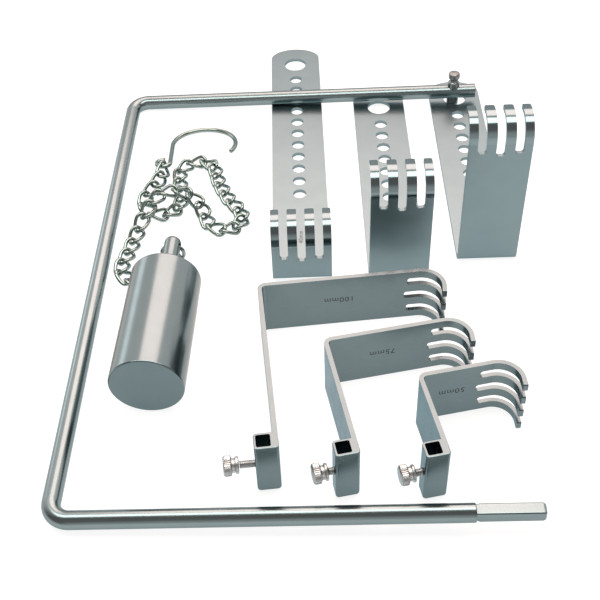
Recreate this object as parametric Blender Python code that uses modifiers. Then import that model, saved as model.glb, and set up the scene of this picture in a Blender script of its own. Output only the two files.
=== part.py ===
"""Incision retractor set: C-shaped rod frame with pivot pin, three perforated claw
blades, three socket claw blades with thumb screws, and a weight on a curb chain
with a wire hook. Laid out flat on a table, +Z up, far side toward +Y.
Sizes below are in millimetres and angles in degrees; MM turns them into metres.
"""
import math

import bmesh
import bpy
from mathutils import Matrix, Vector

MM = 0.001
GAP = 0.3            # clearance between pieces that touch
LAYOUT_X = 0.9       # middle of the whole layout, taken as the origin
LAYOUT_Y = 50.73

# Rod frame
ROD_D = 9.5
ROD_BEND = 10.5      # radius of the rod's centre line at both corners
FRAME_CORNER = (-126.6, -146.7)
FRAME_YAW = -2.56
FRAME_LEFT = 345.0   # left bar, centre line of near bar to centre line of far bar
FRAME_FAR = 240.0    # far bar, centre line of left bar to its end
FRAME_NEAR = 206.1   # near bar, centre line of left bar to the shoulder
SHANK = 6.8          # square shank, side
SHANK_LEN = 33.0
SHANK_EDGE = 1.0

# Pivot pin through the far bar
PIN_FROM_END = 15.3
PIN_D = 7.8
PIN_NECK_D = 5.0
PIN_TENON_D = 5.0
PIN_ABOVE = 15.0     # height of the head's top over the rod's centre line
PIN_FOOT = 0.3       # height of the stub's foot over the table
PIN_STUB = 3.1       # how far the stub reaches below a strap held under the bar

# Blade strip
WIDTH = 35.0
THICK = 2.4
BEND_OUT = 4.5       # outer radius of the right-angle bends
CURL = 13.0          # outer radius of the claw
CURL_SWEEP = 98.0
TAIL = 5.0           # straight end of each claw finger
SLOT = 4.8
FINGER_OUT = 4.8     # the two outer fingers
SLOT_MORE = 1.6      # how much deeper the middle slot is

# Perforated blades: name, depth mark, strap length, small holes, slot depth, foot x, foot y, yaw
PERFORATED = (
    ("40", 40.0, 246.2, 11, 22.6, 2.1, 16.1, -0.47),
    ("75", 75.0, 190.3, 7, 20.2, 58.9, 13.9, -0.73),
    ("100", 100.0, 185.0, 6, 19.4, 112.9, 26.2, -0.78),
)
BIG_HOLE = 15.6
BIG_FROM_END = 20.2
SMALL_HOLE = 8.4
BIG_TO_SMALL = 19.7
HOLE_PITCH = 12.9
END_RISE = 12.0      # how far the rounded end of the strap bulges

# Socket blades: name, reach mark, arm length, block corner x, y, yaw, screw gap
SOCKETS = (
    ("100", 100.0, 111.3, -12.8, -131.1, 4.14, 8.0),
    ("75", 75.0, 74.9, 25.6, -136.2, 9.59, 3.0),
    ("50", 50.0, 50.8, 68.1, -139.0, 9.89, 3.6),
)
SOCKET_OUT = 9.4     # outside of the square tube
SOCKET_HOLE = SHANK + 0.4
SOCKET_EDGE = 1.0
HOOK_SLOT = 19.3     # depth of the slots in a socket blade's claw

# Thumb screw
SCREW_D = 4.0
SCREW_LEN = 9.8
HEAD_D = 10.4
COLLAR_D = 9.0
WAIST_D = 7.2
KNURL = 0.35
KNURLS = 20

# Weight, placed by the cross hole in its stem, where the chain ends
WEIGHT_D = 40.2
WEIGHT_LEN = 80.6
CROSS_HOLE_AT = (-73.893, 28.414)
WEIGHT_YAW = -4.2
WEIGHT_CHAMFER = 0.6
STEM_D = 10.0
STEM_LEN = 31.6
CROSS_HOLE = 4.8
CROSS_FROM_FACE = 26.0

# Chain
WIRE = 2.2
LINK_IN = 10.4       # inner length of a link
LINK_OUT_W = 10.2    # outer width of a link
LINK_TWIST = 45.0
LINKS = 40
LINK_ROLL = 45.0     # roll of the first link, eased off over the next three
END_ROLL = 24.4      # roll of the last link
LINK_POINTS = 18
RING_IN = 10.8       # inner length of the plain link through the cross hole
RING_W = 13.7        # its outer width
HANG = (2.64, 1.09, -10.04)   # chain's end, from the cross hole: to the side, along the stem, up
CHAIN_ROUTE = (
    (-85.1, 120.1, 9.3), (-86.4, 110.0, 8.3), (-89.3, 102.7, 7.4), (-94.4, 95.8, 6.3),
    (-97.3, 87.1, 5.5), (-93.7, 79.0, 4.6), (-84.9, 76.1, 3.8), (-76.1, 79.9, 3.7),
    (-72.6, 89.5, 3.9), (-73.5, 100.0, 4.5), (-74.8, 110.0, 4.3), (-74.9, 120.0, 4.0),
    (-69.3, 126.8, 4.4), (-61.1, 128.0, 4.7), (-53.9, 124.4, 5.0), (-51.2, 114.6, 4.7),
    (-49.2, 104.5, 4.5), (-45.3, 94.7, 4.5), (-40.9, 84.6, 4.5), (-34.3, 76.2, 3.7),
    (-33.5, 67.0, 4.2), (-39.1, 59.6, 4.4), (-47.6, 58.8, 4.7), (-55.3, 64.5, 5.2),
    (-57.6, 74.5, 5.6), (-61.7, 82.1, 9.0), (-68.2, 86.2, 12.5), (-74.9, 87.1, 14.5),
    (-82.2, 85.4, 15.8), (-87.8, 79.1, 15.1), (-93.1, 71.9, 11.8), (-96.7, 64.4, 7.7),
    (-99.0, 56.5, 5.1), (-100.5, 51.6, 4.7), (-102.6, 42.4, 4.5), (-105.2, 33.4, 5.0),
    (-106.0, 24.0, 5.5), (-100.6, 16.4, 6.1), (-91.7, 13.6, 7.1), (-82.5, 15.1, 8.6),
    (-75.0, 20.7, 9.5),
)

# Wire hook
HOOK_WIRE = 3.0
HOOK_R = 21.3        # centre line of the arc
HOOK_EYE_R = 4.35    # centre line of the eye
HOOK_SHANK = 23.7    # eye centre to arc centre, along the shank
HOOK_EYE_AT = (-85.9, 122.4, 9.0)
HOOK_DIP = -9.2
HOOK_TIP = -32.0     # direction of the arc's free end, from the arc's centre
HOOK_EYE_SWEEP = 280.0

SATIN = ("satin_steel", (0.62, 0.64, 0.65, 1.0), 0.34)
TURNED = ("turned_steel", (0.66, 0.67, 0.67, 1.0), 0.26)
BRIGHT = ("bright_steel", (0.72, 0.74, 0.72, 1.0), 0.18)


# Scene and small helpers

def clear_scene():
    for obj in list(bpy.data.objects):
        bpy.data.objects.remove(obj, do_unlink=True)


def collection(name, hidden=False):
    coll = bpy.data.collections.new(name)
    bpy.context.scene.collection.children.link(coll)
    coll.hide_render = hidden
    return coll


def material(spec):
    name, color, rough = spec
    found = bpy.data.materials.get(name)
    if found:
        return found
    mat = bpy.data.materials.new(name)
    mat.use_nodes = True
    shader = mat.node_tree.nodes["Principled BSDF"]
    shader.inputs["Base Color"].default_value = color
    shader.inputs["Metallic"].default_value = 1.0
    shader.inputs["Roughness"].default_value = rough
    mat.diffuse_color = color
    return mat


def own_material(spec, name):
    """A material of its own for one object, in the finish that spec gives."""
    mat = material(spec).copy()
    mat.name = spec[0] + "." + name
    return mat


def spot(x, y, z=0.0):
    """World position in metres of a layout position in millimetres."""
    return Vector(((x - LAYOUT_X) * MM, (y - LAYOUT_Y) * MM, z * MM))


def turned(x, y, yaw):
    """The layout vector (x, y) turned by yaw."""
    a = math.radians(yaw)
    return x * math.cos(a) - y * math.sin(a), x * math.sin(a) + y * math.cos(a)


def finish(obj, coll, spec, loc=None, rot=(0.0, 0.0, 0.0)):
    """Put an object in its collection, with a finish and a place."""
    coll.objects.link(obj)
    obj.data.materials.append(own_material(spec, obj.name))
    if loc is not None:
        obj.location = loc
        obj.rotation_euler = [math.radians(a) for a in rot]
    return obj


def mesh_object(name, verts, faces):
    """A mesh object from millimetre points, with its normals turned outward."""
    mesh = bpy.data.meshes.new(name)
    mesh.from_pydata([tuple(c * MM for c in v) for v in verts], [], faces)
    work = bmesh.new()
    work.from_mesh(mesh)
    bmesh.ops.recalc_face_normals(work, faces=work.faces)
    work.to_mesh(mesh)
    work.free()
    return bpy.data.objects.new(name, mesh)


def loft(name, rings):
    """A closed solid through rings that all have the same number of points."""
    count = len(rings[0])
    verts = [p for ring in rings for p in ring]
    faces = []
    for i in range(len(rings) - 1):
        for k in range(count):
            a = i * count + k
            b = i * count + (k + 1) % count
            faces.append((a, b, b + count, a + count))
    faces.append(tuple(range(count)))
    last = (len(rings) - 1) * count
    faces.append(tuple(range(last, last + count)))
    return mesh_object(name, verts, faces)


def rounded_rect(width, depth, radius, steps=4):
    """Corner-rounded rectangle around the origin, as a list of points."""
    out = []
    corners = ((1, 1, 0), (-1, 1, 90), (-1, -1, 180), (1, -1, 270))
    for sx, sy, start in corners:
        cx = sx * (width / 2 - radius)
        cy = sy * (depth / 2 - radius)
        for k in range(steps + 1):
            a = math.radians(start + 90.0 * k / steps)
            out.append((cx + radius * math.cos(a), cy + radius * math.sin(a)))
    return out


def circle(radius, steps):
    return [(radius * math.cos(2 * math.pi * k / steps), radius * math.sin(2 * math.pi * k / steps))
            for k in range(steps)]


def wire_curve(name, points, diameter, cyclic=False, resolution=2):
    """A round wire along a polyline of millimetre points."""
    curve = bpy.data.curves.new(name, "CURVE")
    curve.dimensions = "3D"
    curve.bevel_depth = diameter / 2 * MM
    curve.bevel_resolution = resolution
    curve.use_fill_caps = not cyclic
    curve.render_resolution_u = 0
    spline = curve.splines.new("POLY")
    spline.points.add(len(points) - 1)
    for slot, p in zip(spline.points, points):
        slot.co = (p[0] * MM, p[1] * MM, p[2] * MM, 1.0)
    spline.use_cyclic_u = cyclic
    return bpy.data.objects.new(name, curve)


def as_mesh(curve_obj, name):
    """The mesh of a wire, with its end caps welded."""
    bpy.context.scene.collection.objects.link(curve_obj)
    graph = bpy.context.evaluated_depsgraph_get()
    mesh = bpy.data.meshes.new_from_object(curve_obj.evaluated_get(graph))
    work = bmesh.new()
    work.from_mesh(mesh)
    bmesh.ops.remove_doubles(work, verts=work.verts, dist=1e-6)
    bmesh.ops.recalc_face_normals(work, faces=work.faces)
    work.to_mesh(mesh)
    work.free()
    bpy.data.objects.remove(curve_obj, do_unlink=True)
    mesh.name = name
    return bpy.data.objects.new(name, mesh)


def boolean(obj, cutters, tool, operation="DIFFERENCE"):
    """Apply a cutter to an object as an exact Boolean modifier."""
    cutters.objects.link(tool)
    tool.hide_render = True
    tool.display_type = "WIRE"
    tool.location = obj.location.copy()
    tool.rotation_euler = obj.rotation_euler.copy()
    mod = obj.modifiers.new(tool.name, "BOOLEAN")
    mod.operation = operation
    mod.solver = "EXACT"
    mod.object = tool
    return mod


def joined(name, objects):
    """One mesh object holding the separate meshes of several cutters."""
    work = bmesh.new()
    for obj in objects:
        work.from_mesh(obj.data)
    mesh = bpy.data.meshes.new(name)
    work.to_mesh(mesh)
    work.free()
    for obj in objects:
        bpy.data.objects.remove(obj, do_unlink=True)
    return bpy.data.objects.new(name, mesh)


# Frame

def frame_path():
    """Centre line of the rod in the frame's own plane, corner at the origin."""
    r = ROD_BEND
    pts = [(FRAME_FAR, FRAME_LEFT, 0.0)]
    for k in range(11):
        a = math.radians(90.0 + 9.0 * k)
        pts.append((r + r * math.cos(a), FRAME_LEFT - r + r * math.sin(a), 0.0))
    for k in range(11):
        a = math.radians(180.0 + 9.0 * k)
        pts.append((r + r * math.cos(a), r + r * math.sin(a), 0.0))
    pts.append((FRAME_NEAR, 0.0, 0.0))
    return pts


def pin_reach():
    """Distance of the pin from the left bar, along the far bar."""
    return FRAME_FAR - PIN_FROM_END


def frame_tilt():
    """Angle by which the pin's stub lifts the right side of the frame."""
    lift = PIN_FOOT + THICK + PIN_STUB
    return math.degrees(math.asin(lift / pin_reach()))


def frame_matrix():
    lean = Matrix.Rotation(-math.radians(frame_tilt()), 4, "Y")
    turn = Matrix.Rotation(math.radians(FRAME_YAW), 4, "Z")
    corner = Matrix.Translation(spot(FRAME_CORNER[0], FRAME_CORNER[1], ROD_D / 2))
    return corner @ turn @ lean


def build_frame(coll, cutters):
    rod = as_mesh(wire_curve("frame_rod", frame_path(), ROD_D, resolution=8), "frame_rod")
    finish(rod, coll, SATIN)
    rod.matrix_world = frame_matrix()
    rings = []
    start = FRAME_NEAR - 3.0
    end = FRAME_NEAR + SHANK_LEN
    for x, cut in ((start, 0.0), (end - 0.6, 0.0), (end, 0.6)):
        side = SHANK - 2 * cut
        ring = rounded_rect(side, side, max(SHANK_EDGE - cut, 0.4))
        rings.append([(x, p, q) for p, q in ring])
    shank = loft("cut_shank", rings)
    boolean(rod, cutters, shank, "UNION")
    hole = loft("cut_pin_hole", [[(pin_reach() + p, FRAME_LEFT + q, z) for p, q in circle(PIN_TENON_D / 2 + GAP, 24)]
                                 for z in (-ROD_D, ROD_D)])
    boolean(rod, cutters, hole)
    for mod in rod.modifiers:
        mod.object.matrix_world = frame_matrix()
    return rod


def pin_profile():
    """Half outline of the pin from the head's top to the foot, in its own axis."""
    r = PIN_D / 2
    neck = PIN_NECK_D / 2
    top = PIN_ABOVE
    foot = -(ROD_D / 2 + THICK + PIN_STUB)
    return [(0.0, top), (r - 1.2, top), (r - 0.4, top - 0.3), (r, top - 1.1), (r, top - 3.6),
            (r - 0.5, top - 4.3), (neck, top - 4.8), (neck, top - 6.4), (r - 0.4, top - 7.0),
            (r, top - 7.4), (r, foot + 0.5), (r - 0.5, foot), (0.0, foot)]


def screw_mesh(name, profile, steps):
    """A turned solid: the profile (radius, height) spun about Z by a Screw modifier."""
    mesh = bpy.data.meshes.new(name)
    verts = [(r * MM, 0.0, z * MM) for r, z in profile]
    mesh.from_pydata(verts, [(i, i + 1) for i in range(len(verts) - 1)], [])
    obj = bpy.data.objects.new(name, mesh)
    mod = obj.modifiers.new("spin", "SCREW")
    mod.axis = "Z"
    mod.steps = steps
    mod.render_steps = steps
    mod.use_merge_vertices = True
    mod.merge_threshold = 0.00001
    mod.use_smooth_shade = True
    mod.use_normal_calculate = True
    return obj


def pin_place():
    """World position of the point where the pin's axis crosses the rod's."""
    return frame_matrix() @ Vector((pin_reach() * MM, FRAME_LEFT * MM, 0.0))


def build_pin(coll, cutters):
    pin = screw_mesh("pivot_pin", pin_profile(), 28)
    finish(pin, coll, SATIN, pin_place())
    clear = ROD_D / 2 + GAP
    saddle = loft("cut_saddle", [[(x, p, q) for p, q in circle(clear, 36)] for x in (-9.0, 9.0)])
    boolean(pin, cutters, saddle)
    saddle.matrix_world = frame_matrix()
    saddle.location = pin_place()
    tenon = loft("cut_tenon", [[(p, q, z) for p, q in circle(PIN_TENON_D / 2, 24)]
                               for z in (-clear - 0.3, clear + 0.3)])
    boolean(pin, cutters, tenon, "UNION")
    return pin


# Strips

def arc(cx, cy, start, sweep, steps):
    """Centre and direction of each station along an arc."""
    out = []
    for k in range(steps + 1):
        a = math.radians(start + sweep * k / steps)
        out.append(((cx, cy), (math.cos(a), math.sin(a))))
    return out


def strip_rings(stations, to_xyz):
    """Rings of four corners for stations of (outer point, inner point, half width)."""
    rings = []
    for outer, inner, half in stations:
        rings.append([to_xyz(outer, -half), to_xyz(outer, half), to_xyz(inner, half), to_xyz(inner, -half)])
    return rings


def along_arc(centre, direction, radius, half):
    cx, cy = centre
    dx, dy = direction
    inside = radius - THICK
    return (cx + dx * radius, cy + dy * radius), (cx + dx * inside, cy + dy * inside), half


def tail_station(centre, direction, radius, forward, half):
    """Station after the claw's arc, moved straight on by the tail length."""
    outer, inner, half = along_arc(centre, direction, radius, half)
    fx, fy = forward
    return (outer[0] + fx * TAIL, outer[1] + fy * TAIL), (inner[0] + fx * TAIL, inner[1] + fy * TAIL), half


def slot_centres():
    """Offsets of the three slots from the strip's middle."""
    inner = (WIDTH - 2 * FINGER_OUT - 3 * SLOT) / 2
    step = SLOT + inner
    return (-step, 0.0, step)


def slot_cutter(name, root, top, to_xyz, low, high):
    """Three bars with rounded roots that open the slots of a claw."""
    bars = []
    for number, centre in enumerate(slot_centres()):
        start = root - (SLOT_MORE if number == 1 else 0.0)
        r = 1.5
        outline = [(top, -SLOT / 2), (top, SLOT / 2)]
        for k in range(5):
            a = math.radians(90.0 + 22.5 * k)
            outline.append((start + r + r * math.cos(a), SLOT / 2 - r + r * math.sin(a)))
        for k in range(5):
            a = math.radians(180.0 + 22.5 * k)
            outline.append((start + r + r * math.cos(a), -SLOT / 2 + r + r * math.sin(a)))
        rings = [[to_xyz(level, along, centre + across) for along, across in outline] for level in (low, high)]
        bars.append(loft("bar", rings))
    return joined(name, bars)


# Perforated blades

def perforated_stations(depth, length):
    """Side outline from the strap's far end to the finger tips; (y, z) points."""
    half = WIDTH / 2
    stations = []
    for k in range(13):
        a = math.radians(6.0 + 84.0 * k / 12)
        y = length - END_RISE + END_RISE * math.cos(a)
        stations.append(((y, 0.0), (y, THICK), half * math.sin(a)))
    bend = BEND_OUT
    for centre, direction in arc(bend, bend, 270.0, -90.0, 8):
        stations.append(along_arc(centre, direction, bend, half))
    top = arc(CURL, depth - CURL, 180.0, -CURL_SWEEP, 14)
    for centre, direction in top:
        stations.append(along_arc(centre, direction, CURL, half))
    centre, direction = top[-1]
    forward = (direction[1], -direction[0])
    stations.append(tail_station(centre, direction, CURL, forward, half))
    return stations


def build_perforated(coll, cutters, spec, axis_at=None):
    """A perforated claw blade; axis_at moves its origin to a pivot in the layout."""
    mark, depth, length, holes, slots, x, y, yaw = spec
    home = Vector((x, y))
    ox, oy = 0.0, 0.0
    if axis_at is not None:
        dx, dy = axis_at[0] - x, axis_at[1] - y
        ox, oy = turned(dx, dy, -yaw)
        home = Vector(axis_at)
    name = "strap_blade_" + mark

    def side(point, across):
        return (across - ox, point[0] - oy, point[1])

    def bar(level, along, across):
        return (across - ox, level - oy, along)

    blade = loft(name, strip_rings(perforated_stations(depth, length), side))
    finish(blade, coll, SATIN, spot(home.x, home.y, 0.0), (0.0, 0.0, yaw))
    tools = []
    spots = [(length - BIG_FROM_END, BIG_HOLE, 32)]
    for k in range(holes):
        spots.append((length - BIG_FROM_END - BIG_TO_SMALL - k * HOLE_PITCH, SMALL_HOLE, 24))
    for at, size, steps in spots:
        tools.append(loft("hole", [[(p - ox, at + q - oy, z) for p, q in circle(size / 2, steps)]
                                   for z in (-1.0, THICK + 1.0)]))
    boolean(blade, cutters, joined("cut_holes_" + mark, tools))
    bars = slot_cutter("cut_slots_" + mark, depth - slots, depth + 2.0, bar, -1.5, CURL + TAIL + 6.0)
    boolean(blade, cutters, bars)
    return blade


# Socket blades

def socket_stations(reach, arm):
    """Plan outline from the arm's near end to the finger tips; (x, y) points.

    The arm's inner face is on x = 0 and the blade's outer face on y = arm.
    """
    half = WIDTH / 2
    bend = BEND_OUT
    stations = [((-THICK, 0.0), (0.0, 0.0), half)]
    for centre, direction in arc(bend - THICK, arm - bend, 180.0, -90.0, 8):
        stations.append(along_arc(centre, direction, bend, half))
    top = arc(reach - CURL, arm - CURL, 90.0, -CURL_SWEEP, 14)
    for centre, direction in top:
        stations.append(along_arc(centre, direction, CURL, half))
    centre, direction = top[-1]
    forward = (direction[1], -direction[0])
    stations.append(tail_station(centre, direction, CURL, forward, half))
    return stations


def tube_rings(outer, inner, low, high):
    """Faces of a square tube: outer and inner outlines at two levels."""
    count = len(outer)
    verts = []
    for outline in (outer, inner):
        for z in (low, high):
            verts.extend((x, y, z) for x, y in outline)
    faces = []
    for k in range(count):
        n = (k + 1) % count
        o0, o1, i0, i1 = k, k + count, k + 2 * count, k + 3 * count
        p0, p1, q0, q1 = n, n + count, n + 2 * count, n + 3 * count
        faces.append((o0, p0, p1, o1))
        faces.append((i0, i1, q1, q0))
        faces.append((o1, p1, q1, i1))
        faces.append((o0, i0, q0, p0))
    return verts, faces


def build_socket(coll, cutters, spec):
    """Socket tube, claw strip, screw shank and knurled head of one socket blade."""
    mark, reach, arm, x, y, yaw, screw_gap = spec
    strip_name = "hook_blade_" + mark

    def plan(point, across):
        return (point[0], point[1], across + WIDTH / 2)

    def bar(level, along, across):
        return (along, level, across + WIDTH / 2)

    strip = loft(strip_name, strip_rings(socket_stations(reach, arm), plan))
    finish(strip, coll, SATIN, spot(x, y, 0.0), (0.0, 0.0, yaw))
    slots = slot_cutter("cut_claw_" + mark, reach - HOOK_SLOT, reach + 2.0, bar, arm - CURL - TAIL - 6.0, arm + 1.5)
    boolean(strip, cutters, slots)

    cx = -THICK - GAP - SOCKET_OUT / 2
    cy = SOCKET_OUT / 2
    outer = [(cx + p, cy + q) for p, q in rounded_rect(SOCKET_OUT, SOCKET_OUT, SOCKET_EDGE)]
    inner = [(cx + p, cy + q) for p, q in rounded_rect(SOCKET_HOLE, SOCKET_HOLE, 0.6)]
    tube = mesh_object("socket_" + mark, *tube_rings(outer, inner, 0.0, WIDTH))
    finish(tube, coll, SATIN, spot(x, y, 0.0), (0.0, 0.0, yaw))
    left = cx - SOCKET_OUT / 2
    ring = circle(SCREW_D / 2 + GAP, 24)
    hole = loft("cut_screw_" + mark, [[(px, cy + p, WIDTH / 2 + q) for p, q in ring]
                                      for px in (left - 2.0, left + 3.0)])
    boolean(tube, cutters, hole)
    build_screw(coll, mark, spec, left, cy, screw_gap)


def build_screw(coll, mark, spec, left, cy, screw_gap):
    """Thumb screw at the socket's left wall; its axis is the object's own X."""
    x, y, yaw = spec[3:6]
    collar = left - screw_gap
    dx, dy = turned(collar, cy, yaw)
    here = spot(x + dx, y + dy, WIDTH / 2)
    ring = circle(SCREW_D / 2, 24)
    tip = circle(SCREW_D / 2 - 0.6, 24)
    shank = loft("screw_" + mark, [[(px, p, q) for p, q in r] for px, r in
                                   ((GAP, ring), (SCREW_LEN - 0.6, ring), (SCREW_LEN, tip))])
    finish(shank, coll, BRIGHT, here, (0.0, 0.0, yaw))
    steps = 2 * KNURLS
    rings = []
    for px, size, knurled in ((-7.8, HEAD_D - 0.8, False), (-7.4, HEAD_D, True), (-3.9, HEAD_D, True),
                              (-3.5, HEAD_D - 0.8, False), (-3.4, WAIST_D, False), (-1.7, WAIST_D, False),
                              (-1.2, COLLAR_D, False), (-0.3, COLLAR_D, False), (0.0, COLLAR_D - 0.6, False)):
        points = []
        for k in range(steps):
            a = 2 * math.pi * k / steps
            r = size / 2 - (KNURL if knurled and k % 2 else 0.0)
            points.append((px, r * math.cos(a), r * math.sin(a)))
        rings.append(points)
    head = loft("screw_head_" + mark, rings)
    finish(head, coll, BRIGHT, here, (0.0, 0.0, yaw))


# Weight

def weight_profile():
    """Half outline from the stem's tip to the flat base, along the weight's own Z."""
    r = WEIGHT_D / 2
    c = WEIGHT_CHAMFER
    s = STEM_D / 2
    tip = WEIGHT_LEN + STEM_LEN
    return [(0.0, tip), (s - 2.2, tip), (s - 1.1, tip - 0.35), (s - 0.35, tip - 1.1), (s, tip - 2.2),
            (s, WEIGHT_LEN), (r - c, WEIGHT_LEN), (r, WEIGHT_LEN - c), (r, c), (r - c, 0.0), (0.0, 0.0)]


def build_weight(coll, cutters):
    profile = [(r, z - WEIGHT_LEN - CROSS_FROM_FACE) for r, z in weight_profile()]
    weight = screw_mesh("weight", profile, 48)
    finish(weight, coll, TURNED, spot(*CROSS_HOLE_AT, WEIGHT_D / 2), (-90.0, 0.0, WEIGHT_YAW))
    hole = loft("cut_cross_hole", [[(level, p, q) for p, q in circle(CROSS_HOLE / 2, 24)]
                                   for level in (-STEM_D, STEM_D)])
    boolean(weight, cutters, hole)
    return weight


# Chain

def oval_points(inner, wide, count):
    """Centre line of a flat link: straight sides and round ends."""
    r = (wide - WIRE) / 2
    s = (inner + WIRE) / 2 - r
    bow = math.pi * r
    around = 4 * s + 2 * bow
    out = []
    for k in range(count):
        u = around * (k + 0.5) / count
        if u < 2 * s:
            out.append((u - s, r))
        elif u < 2 * s + bow:
            a = (u - 2 * s) / r
            out.append((s + r * math.sin(a), r * math.cos(a)))
        elif u < 4 * s + bow:
            out.append((s - (u - 2 * s - bow), -r))
        else:
            a = (u - 4 * s - bow) / r
            out.append((-s - r * math.sin(a), -r * math.cos(a)))
    return out


def link_points(twist, inner=LINK_IN, wide=LINK_OUT_W, count=LINK_POINTS):
    """Centre line of a link whose plane turns by twist at each end."""
    half = (inner + WIRE) / 2
    out = []
    for x, y in oval_points(inner, wide, count):
        a = math.radians(twist) * x / half
        out.append((x, y * math.cos(a), y * math.sin(a)))
    return out


def smooth_route(points, per=24):
    """A smooth line through the route's points."""
    pts = [Vector(p) for p in points]
    pts = [2 * pts[0] - pts[1]] + pts + [2 * pts[-1] - pts[-2]]
    out = []
    for i in range(1, len(pts) - 2):
        p0, p1, p2, p3 = pts[i - 1:i + 3]
        for k in range(per):
            t = k / per
            out.append(0.5 * (2 * p1 + (p2 - p0) * t + (2 * p0 - 5 * p1 + 4 * p2 - p3) * t * t
                              + (3 * p1 - p0 - 3 * p2 + p3) * t ** 3))
    out.append(pts[-2])
    return out


def walk(line, pitch, count):
    """Joints one pitch apart along the line, and how far the last one falls short."""
    joints = [line[0]]
    i = 1
    while len(joints) <= count:
        last = joints[-1]
        while i < len(line) and (line[i] - last).length < pitch:
            i += 1
        if i >= len(line):
            return joints, -1.0
        a, b = line[i - 1], line[i]
        low, high = 0.0, 1.0
        for _ in range(30):
            mid = (low + high) / 2
            if (a + (b - a) * mid - last).length < pitch:
                low = mid
            else:
                high = mid
        joints.append(a + (b - a) * high)
    return joints, (line[-1] - joints[-1]).length


def hang_point():
    """Where the chain's last link ends, in the plain link under the stem."""
    dx, dy = turned(HANG[0], HANG[1], WEIGHT_YAW)
    return CROSS_HOLE_AT[0] + dx, CROSS_HOLE_AT[1] + dy, WEIGHT_D / 2 + HANG[2]


def chain_joints():
    """Joints of the whole chain, with the pitch that fills the route exactly."""
    line = smooth_route(CHAIN_ROUTE + (hang_point(),))
    low, high = 0.8 * LINK_IN, 1.0 * LINK_IN
    for _ in range(40):
        pitch = (low + high) / 2
        if walk(line, pitch, LINKS)[1] < 0:
            high = pitch
        else:
            low = pitch
    return walk(line, low, LINKS)[0]


def link_roll(number):
    """Roll of a link: the ends are rolled, eased off over three links."""
    first = min(0.0, LINK_ROLL * (number / 3 - 1.0))
    last = max(0.0, END_ROLL * (1.0 - (LINKS - 1 - number) / 3))
    return first + last


def chain_frames():
    """Middle and axes of every link; its third axis leans up, but for the roll."""
    joints = chain_joints()
    high = Vector((0.0, 0.0, 1.0))
    frames = []
    for number, (a, b) in enumerate(zip(joints, joints[1:])):
        t = (b - a).normalized()
        up = (high - t * high.dot(t)).normalized()
        rolled = Matrix.Rotation(math.radians(link_roll(number)), 3, t) @ up
        frames.append(((a + b) / 2, t, rolled.cross(t), rolled))
    return frames


def build_chain(coll):
    shape = link_points(LINK_TWIST)
    for number, (mid, t, side, up) in enumerate(chain_frames()):
        link = wire_curve("link_%02d" % (number + 1), shape, WIRE, cyclic=True, resolution=1)
        finish(link, coll, BRIGHT)
        axes = Matrix((t, side, up)).transposed().to_4x4()
        link.matrix_world = Matrix.Translation(spot(*mid)) @ axes
    ring = wire_curve("end_link", link_points(0.0, RING_IN, RING_W), WIRE, cyclic=True, resolution=1)
    middle = WEIGHT_D / 2 + CROSS_HOLE / 2 - GAP - RING_W / 2
    finish(ring, coll, BRIGHT, spot(*CROSS_HOLE_AT, middle), (90.0, 0.0, WEIGHT_YAW))


# Hook

def hook_points():
    """Centre line of the hook in its own plane, eye centre at the origin."""
    pts = []
    for k in range(21):
        a = math.radians(-HOOK_EYE_SWEEP * (1.0 - k / 20))
        pts.append((HOOK_EYE_R * math.cos(a), HOOK_EYE_R * math.sin(a), 0.0))
    cx = HOOK_EYE_R + HOOK_R
    for k in range(33):
        a = math.radians(180.0 + (HOOK_TIP - 180.0) * k / 32)
        pts.append((cx + HOOK_R * math.cos(a), HOOK_SHANK + HOOK_R * math.sin(a), 0.0))
    return pts


def build_hook(coll):
    hook = wire_curve("wire_hook", hook_points(), HOOK_WIRE, resolution=2)
    finish(hook, coll, BRIGHT, spot(*HOOK_EYE_AT), (HOOK_DIP, 0.0, 0.0))


def main():
    clear_scene()
    coll = collection("incision_retractor")
    cutters = collection("cutters", hidden=True)
    build_frame(coll, cutters)
    build_pin(coll, cutters)
    pin = pin_place() / MM
    pivot = (pin.x + LAYOUT_X, pin.y + LAYOUT_Y)
    for spec in PERFORATED:
        build_perforated(coll, cutters, spec, pivot if spec[0] == "100" else None)
    for spec in SOCKETS:
        build_socket(coll, cutters, spec)
    build_weight(coll, cutters)
    build_chain(coll)
    build_hook(coll)


main()
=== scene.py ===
import math
from collections import namedtuple

import bmesh
import bpy
from mathutils import Matrix, Vector


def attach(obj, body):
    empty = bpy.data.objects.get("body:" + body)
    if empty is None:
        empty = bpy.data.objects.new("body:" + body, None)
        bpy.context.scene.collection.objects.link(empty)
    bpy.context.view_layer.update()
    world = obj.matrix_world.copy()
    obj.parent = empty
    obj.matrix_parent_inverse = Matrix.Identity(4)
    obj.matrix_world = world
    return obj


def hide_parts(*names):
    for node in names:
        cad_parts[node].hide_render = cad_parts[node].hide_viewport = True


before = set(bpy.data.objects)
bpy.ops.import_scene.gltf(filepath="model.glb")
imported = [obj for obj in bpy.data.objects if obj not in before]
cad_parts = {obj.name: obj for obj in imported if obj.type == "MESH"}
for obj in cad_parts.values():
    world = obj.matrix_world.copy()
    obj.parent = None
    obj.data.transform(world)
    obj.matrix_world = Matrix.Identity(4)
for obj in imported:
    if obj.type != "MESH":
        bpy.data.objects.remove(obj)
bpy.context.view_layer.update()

MM = 0.001
NEAR = 1e-5          # metres: two places this close are the same
LAYOUT_X = 0.9       # the point of the layout that is the world's origin
LAYOUT_Y = 50.73
GAP = 0.3            # clearance that the solids keep

# Camera, in layout coordinates: it looks at the layout's origin
CAM_DISTANCE = 620.353
CAM_PITCH = 45.58
CAM_ROLL = 2.431
CAM_LENS = 63.78
CAM_SENSOR = 36.0
CAM_CLIP = 10.0

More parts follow.
